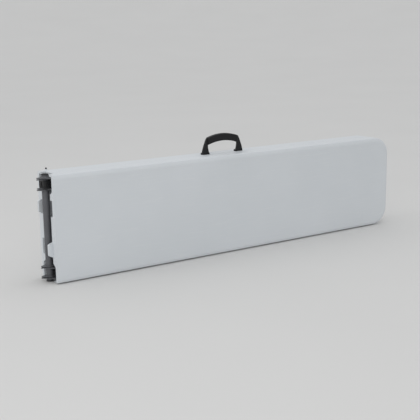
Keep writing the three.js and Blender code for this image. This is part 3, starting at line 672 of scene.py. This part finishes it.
# Hinge tube: the 19 mm steel tube on the seam that both halves turn on, sawn square, its ends
# deburred, and powder coated.
low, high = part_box("hinge_tube")
radius = (high.y - low.y) / 2
tube_wall, burr = 1.3 * mm, 0.4 * mm
bm = bmesh.new()
wall = [(radius - tube_wall, low.z), (radius - burr, low.z), (radius, low.z + burr)]
wall += [(radius, high.z - burr), (radius - burr, high.z), (radius - tube_wall, high.z)]
turned(bm, wall, (axis_x, 0, 0), (0, 0, 1), 64, closed=True)
mount(body_of("hinge_axle_tube", bm), powder_coat, "rear_half", ["hinge_tube"])

# Tube caps: black polypropylene mouldings pressed in to the tube's ends, a domed flange with a
# ring moulded in it on a plain plug.
for edge, up in (("lower", -1), ("upper", 1)):
    name = f"hinge_tube_{edge}_cap"
    low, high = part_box(name)
    seat = low.z if up > 0 else high.z
    tall = (high.z - low.z) / mm
    bm = bmesh.new()
    dome = [(0, tall), (4.4, tall - 0.05), (5, tall - 0.35), (6, tall - 0.35), (6.6, tall - 0.1)]
    dome += [(8.4, tall - 0.3), (9.6, tall - 0.9), (10.2, tall - 1.7), (10.2, tall - 2.5)]
    dome += [(7.8, tall - 2.5), (7.6, 1), (6.8, 0), (0, 0)]
    turned(bm, [(r * mm, h * mm) for r, h in dome], (axis_x, 0, seat), (0, 0, up), 48)
    mount(body_of(name + "_moulding", bm), black_plastic, "rear_half", [name])

# Hinge block: a black moulded spacer that fills the upper hinge round the tube, cored out on its
# outer side.
low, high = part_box("hinge_block")
line = [(low.x, low.y), (high.x, low.y), (high.x, high.y), (low.x, high.y)]
bm = bmesh.new()
outline = softened(line, 6 * mm)
prism(bm, outline, [circle(axis_x, 0, bore)], lambda x, y, z: (x, y, z), low.z, high.z)
block = body_of("hinge_spacer_block", bm)
# Two shallow cores, either side of a middle web.
end_wall, side_wall, half_web, core_deep = 4 * mm, 5.5 * mm, 1.2 * mm, 1.2 * mm
z0, z1 = low.z + end_wall, high.z - end_wall
for y0, y1 in ((low.y + side_wall, -half_web), (half_web, high.y - side_wall)):
    line = [(y0, z0), (y1, z0), (y1, z1), (y0, z1)]
    bm = bmesh.new()
    prism(bm, softened(line, 2 * mm), [], lambda y, z, x: (x, y, z), low.x - mm, low.x + core_deep)
    carve(block, body_of("core", bm))
ease(block, 0.6 * mm, 2)
mount(block, black_plastic, "rear_half", ["hinge_block"])

# Leg frames: a pivot tube, two uprights with swaged ends and a foot tube, welded together and
# coated. They fold outwards and stand splayed when the table is open.
burr = 0.3 * mm
# At the pivot tube and at the foot tube: (the tube's radius, how far along it each ring of weld
# lies from the upright's axis), in millimetres.
pivot_weld, foot_weld = (8, 8.2), (10, 10.4)
for half in ("rear", "front"):
    names = [f"{half}_leg_pivot_tube", f"{half}_leg_foot_tube"]
    pivot_low, pivot_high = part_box(names[0])
    foot_low, foot_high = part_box(names[1])
    pivot, foot = (pivot_low + pivot_high) / 2, (foot_low + foot_high) / 2
    bm = bmesh.new()
    for low, high in ((pivot_low, pivot_high), (foot_low, foot_high)):
        middle, radius = (low + high) / 2, (high.x - low.x) / 2
        wall = [(radius - tube_wall, low.z), (radius - burr, low.z), (radius, low.z + burr)]
        wall += [(radius, high.z - burr), (radius - burr, high.z), (radius - tube_wall, high.z)]
        turned(bm, wall, (middle.x, middle.y, 0), (0, 0, 1), 48, closed=True)
    for edge in ("lower", "upper"):
        name = f"{half}_{edge}_leg_upright"
        names.append(name)
        low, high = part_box(name)
        z = (low.z + high.z) / 2
        long = foot.x - pivot.x
        bar = [(0, 6), (7.4, 6), (7.5, 8), (8.2, 14), (9.5, 20), (10, 25)]
        bar = [(r * mm, h * mm) for r, h in bar]
        bar += [(10 * mm, long - 10 * mm), (9.9 * mm, long - 6 * mm), (9.2 * mm, long - 3 * mm)]
        bar += [(0, long - 3 * mm)]
        turned(bm, bar, (pivot.x, pivot.y, z), (1, 0, 0), 48)
        for tube, (radius, reach) in ((pivot, pivot_weld), (foot, foot_weld)):
            bead = [(radius - 0.4, -1.6), (radius + 0.9, -1.1), (radius + 1.3, 0)]
            bead += [(radius + 0.8, 1.2), (radius - 0.4, 1.7)]
            bead = [(r * mm, h * mm) for r, h in bead]
            for way in (-1, 1):
                turned(bm, bead, (tube.x, tube.y, z + way * reach * mm), (0, 0, 1), 40, closed=True)
    mount(body_of(f"{half}_leg_frame", bm), powder_coat, f"{half}_leg", names)

# Foot shoes: moulded black rubber cups pushed over the foot tube's ends, ribbed for grip. Dust
# clings to the rubber in spots of about 8 mm and leaves it matt and patchy.
rubber, rubber_shader = surface("shoe_rubber", Roughness=0.75, IOR=1.52)
place = add(rubber, "ShaderNodeTexCoord").outputs["Object"]
dust = add(rubber, "ShaderNodeTexNoise", {"Vector": place}, {"Scale": 120.0, "Detail": 5.0})
dusty = add(
    rubber,
    "ShaderNodeMixRGB",
    {"Fac": dust.outputs["Fac"]},
    {"Color1": linear("121214"), "Color2": linear("343331")},
)
join(rubber, dusty.outputs["Color"], rubber_shader, "Base Color")
rubber_bump = add(
    rubber,
    "ShaderNodeBump",
    {"Height": dust.outputs["Fac"]},
    {"Strength": 0.3, "Distance": 0.0004},
)
join(rubber, rubber_bump.outputs["Normal"], rubber_shader, "Normal")

for half in ("rear", "front"):
    for edge, up in (("lower", 1), ("upper", -1)):
        name = f"{half}_{edge}_foot_shoe"
        low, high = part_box(name)
        middle = (low + high) / 2
        cup = [(0, 0), (9, 0), (10.8, 0.4), (12, 1.4), (12.5, 3)]
        for rib in range(6):
            cup += [(12.5, 4 + 4 * rib), (11.8, 4.6 + 4 * rib), (11.8, 6.4 + 4 * rib), (12.5, 7 + 4 * rib)]
        cup += [(12.5, 29), (12.1, 29.8), (11, 30), (10.2, 29.8), (10.2, 4), (0, 4)]
        bm = bmesh.new()
        base = low.z if up > 0 else high.z
        turned(bm, [(r * mm, h * mm) for r, h in cup], (middle.x, middle.y, base), (0, 0, up), 48)
        mount(body_of(name + "_moulding", bm), rubber, f"{half}_leg", [name])

# Brace arms: 3 mm flat steel with round ends and a pressed rib, powder coated, one beside each
# rail. An arm is drilled at one end for its bolt and at the other for the sleeve's boss.
end_steps = 20
hole_radius = 4.3 * mm
rib_half = 3 * mm
for half in ("rear", "front"):
    for edge in ("lower", "upper"):
        name = f"{half}_{edge}_brace_arm"
        low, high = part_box(name)
        y = (low.y + high.y) / 2
        reach = (high.y - low.y) / 2
        start, end = low.x + reach, high.x - reach
        line = []
        for centre, first in ((start, pi / 2), (end, -pi / 2)):
            for k in range(end_steps + 1):
                turn = first + pi * k / end_steps
                line.append((centre + reach * cos(turn), y + reach * sin(turn)))
        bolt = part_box(f"{half}_{edge}_brace_bolt")
        bolt_x = (bolt[0].x + bolt[1].x) / 2
        sleeve_x = low.x + high.x - bolt_x
        holes = [circle(bolt_x, y, hole_radius, 32), circle(sleeve_x, y, hole_radius, 32)]
        bm = bmesh.new()
        prism(bm, line, holes, lambda a, b, c: (a, b, c), low.z, high.z)
        x0, x1 = bolt_x + 22 * mm, sleeve_x - 34 * mm
        rib = [(x0, y - rib_half), (x1, y - rib_half), (x1, y + rib_half), (x0, y + rib_half)]
        away = 0.6 * mm if edge == "lower" else -0.6 * mm
        z0, z1 = low.z + mm + away, high.z - mm + away * 1.6
        prism(bm, softened(rib, rib_half), [], lambda a, b, c: (a, b, c), z0, z1)
        arm = body_of(name + "_strip", bm)
        ease(arm, 0.4 * mm, 2)
        mount(arm, powder_coat, f"{half}_brace", [name])

# Brace bolts: zinc-plated steel, with a hexagon head outside the rail and a nut against the arm
# inside it.
head_tall = 1.8 * mm
for half in ("rear", "front"):
    for edge in ("lower", "upper"):
        name = f"{half}_{edge}_brace_bolt"
        low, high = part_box(name)
        middle = (low + high) / 2
        bm = bmesh.new()
        head_at, nut_at = low.z, high.z - head_tall
        if edge == "upper":
            head_at, nut_at = nut_at, head_at
        for at, across, thread in ((head_at, 6.9, False), (nut_at, 5.9, True)):
            hole = [circle(middle.x, middle.y, 4 * mm, 24)] if thread else []
            hexagon = circle(middle.x, middle.y, across * mm, 6)
            prism(bm, hexagon, hole, lambda a, b, c: (a, b, c), at, at + head_tall)
        shank = [(0, low.z + 0.4 * mm), (3.5 * mm, low.z + 0.4 * mm), (3.9 * mm, low.z + mm)]
        shank += [(3.9 * mm, high.z - mm), (3.5 * mm, high.z - 0.3 * mm), (0, high.z - 0.3 * mm)]
        turned(bm, shank, (middle.x, middle.y, 0), (0, 0, 1), 24)
        bolt = body_of(name + "_hexagon", bm)
        ease(bolt, 0.25 * mm, 2, 50)
        mount(bolt, zinc, f"{half}_half", [name])

# Brace sleeves: black polypropylene sliders on the uprights, collared at both ends, with a
# headed boss that the brace arm turns on.
for half in ("rear", "front"):
    for edge in ("lower", "upper"):
        name = f"{half}_{edge}_brace_sleeve"
        low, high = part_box(name)
        upright_low, upright_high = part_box(f"{half}_{edge}_leg_upright")
        y = (upright_low.y + upright_high.y) / 2
        z = (upright_low.z + upright_high.z) / 2
        x = (low.x + high.x) / 2
        inward = -1 if edge == "lower" else 1
        bm = bmesh.new()
        wall = [(10.5, -25), (11.9, -25), (12.4, -24.4), (12.4, -20), (11.7, -19), (11.7, -11)]
        wall += [(12.4, -10), (12.4, 10), (11.7, 11), (11.7, 12), (12.4, 13), (12.4, 24.4)]
        wall += [(11.9, 25), (10.5, 25)]
        turned(bm, [(r * mm, h * mm) for r, h in wall], (x, y, z), (1, 0, 0), 48, closed=True)
        head_z = low.z if edge == "lower" else high.z
        reach = abs(head_z - z) / mm
        boss = [(0, 10.8), (3.9, 10.8), (3.9, reach - 2), (5.9, reach - 2), (5.9, reach - 0.4)]
        boss += [(5.4, reach), (0, reach)]
        turned(bm, [(r * mm, h * mm) for r, h in boss], (x, y, z), (0, 0, inward), 32)
        mount(body_of(name + "_slider", bm), black_plastic, f"{half}_sleeves", [name])

# Lock knobs: black polypropylene pull knobs with a grooved grip, on a spring, one on each half's
# upper sleeve.
for half in ("rear", "front"):
    name = f"{half}_lock_knob"
    low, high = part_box(name)
    middle = (low + high) / 2
    tall = (high.z - low.z) / mm
    bm = bmesh.new()
    grip = [(0, 0), (3.6, 0.1), (5.4, 0.8), (6.6, 2.1), (7, 3.8), (7, 4.6), (6.3, 5.1), (7, 5.6)]
    grip += [(7, 6.4), (6.3, 6.9), (7, 7.4), (6.9, 8.6), (6.2, 10), (5, 11), (2.9, 11)]
    grip += [(2.9, tall - 0.4), (2.5, tall), (0, tall)]
    turned(bm, [(r * mm, h * mm) for r, h in grip], (middle.x, middle.y, low.z), (0, 0, 1), 48)
    mount(body_of(name + "_pull", bm), black_plastic, f"{half}_lock", [name])

# Carry handle: one moulding of black polypropylene, a flat bail with flared feet that stand on
# the rear half's rim and a thicker, rounded grip.
low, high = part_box("carry_handle")
middle = (low + high) / 2
rise = (high.z - low.z) / mm
half_long = (high.x - low.x) / 2 / mm
# In millimetres from the handle's middle, and up from the edge that it stands on.
foot_inside = half_long - 25.8
foot_bend = 13
shoulder, shoulder_rise = half_long - 18, 48.5
flank, flank_rise = 15.5, 18
waist, waist_rise = half_long - 19.5, 27.5
grip_tall = 21
bail_deep, grip_deep, pad_deep, pad_tall = 7, 14, 12, 5
handle_y = 5 * mm
bail_front = handle_y - bail_deep / 2 * mm


def on_rim(x, z, y):
    """A point of the handle, from its middle and from the edge that it stands on."""
    return (middle.x + x, y, low.z + z)


def arch(points_x, low_z, crown_z, steps=32):
    """A flat arch from one side to the other through its crown."""
    line = []
    for k in range(steps + 1):
        t = k / steps
        line.append((points_x * (2 * t - 1), low_z + (crown_z - low_z) * 4 * t * (1 - t)))
    return line


def bend(start, middle_point, end, steps=12):
    """A curve from one point to another that leans to a third, without its first point."""
    line = []
    for k in range(1, steps + 1):
        t = k / steps
        point = Vector(start) * (1 - t) ** 2 + Vector(middle_point) * 2 * t * (1 - t) + Vector(end) * t * t
        line.append(tuple(point))
    return line


def handle_piece(name, line, depth, easing, segments):
    """A slab of the handle, cut to a line and eased all round."""
    bm = bmesh.new()
    line = [(x * mm, z * mm) for x, z in line]
    prism(bm, line, [], on_rim, handle_y - depth / 2 * mm, handle_y + depth / 2 * mm)
    piece = body_of(name, bm)
    ease(piece, easing * mm, segments, 60)
    return piece


bail = [(-half_long, 0), (-foot_inside, 0)]
bail += bend((-foot_inside, 0), (-waist, foot_bend), (-waist, waist_rise))
bail += arch(waist, waist_rise, rise - grip_tall)[1:-1] + [(waist, waist_rise)]
bail += bend((waist, waist_rise), (waist, foot_bend), (foot_inside, 0)) + [(half_long, 0)]
bail += bend((half_long, 0), (shoulder + flank, flank_rise), (shoulder + 3, shoulder_rise - 4))
bail += [(shoulder + 0.7, shoulder_rise - 0.9)] + list(reversed(arch(shoulder, shoulder_rise, rise - 0.4)))
bail += [(-shoulder - 0.7, shoulder_rise - 0.9), (-shoulder - 3, shoulder_rise - 4)]
neck = (-shoulder - 3, shoulder_rise - 4)
bail += bend(neck, (-shoulder - flank, flank_rise), (-half_long, 0))[:-1]
bail_piece = handle_piece("handle_bail", bail, bail_deep, 1.3, 3)
grip = arch(shoulder - 1.5, waist_rise + 0.3, rise - grip_tall - 0.5)
grip += list(reversed(arch(shoulder, shoulder_rise, rise)))
carve(bail_piece, handle_piece("handle_grip", grip, grip_deep, 4.5, 5), "UNION")
# A pad at each foot, deeper than the bail.
for way in (-1, 1):
    end = way * (half_long + foot_inside) / 2
    reach = (half_long - foot_inside) / 2 - 1
    pad = [(end - reach, 0), (end + reach, 0), (end + reach, pad_tall), (end - reach, pad_tall)]
    pad = [(x * mm, z * mm) for x, z in softened(pad, [0, 0, 2, 2])]
    bm = bmesh.new()
    prism(bm, pad, [], on_rim, bail_front, bail_front + pad_deep * mm)
    carve(bail_piece, body_of("handle_pad", bm), "UNION")
mount(bail_piece, black_plastic, "rear_half", ["carry_handle"], 30)

# Handle screws: zinc-plated steel pan heads driven up through the rear half's rim into the
# handle's feet.
for number in (1, 2):
    name = f"handle_screw_{number}"
    low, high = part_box(name)
    middle = (low + high) / 2
    tall = (high.z - low.z) / mm
    shape = [(0, 0), (2.2, 0.1), (3.2, 0.9), (3.6, 2), (3.6, 3), (1.5, 3), (1.5, tall), (0, tall)]
    bm = bmesh.new()
    turned(bm, [(r * mm, h * mm) for r, h in shape], (middle.x, middle.y, low.z), (0, 0, 1), 24)
    mount(body_of(name + "_pan", bm), zinc, "rear_half", [name])

# Edge screw: a small black screw in the boss on the rear half's upper edge. Its pan head stands a
# little proud of the boss.
low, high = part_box("rear_edge_screw")
middle = (low + high) / 2
tall = (high.z - low.z) / mm
shape = [(0, 0), (1.2, 1), (1.2, tall - 4), (2.3, tall - 4), (2.3, tall - 1.6)]
shape += [(1.8, tall - 0.5), (1, tall), (0, tall)]
bm = bmesh.new()
turned(bm, [(r * mm, h * mm) for r, h in shape], (middle.x, middle.y, low.z), (0, 0, 1), 24)
mount(body_of("edge_screw_pan", bm), black_plastic, "rear_half", ["rear_edge_screw"])
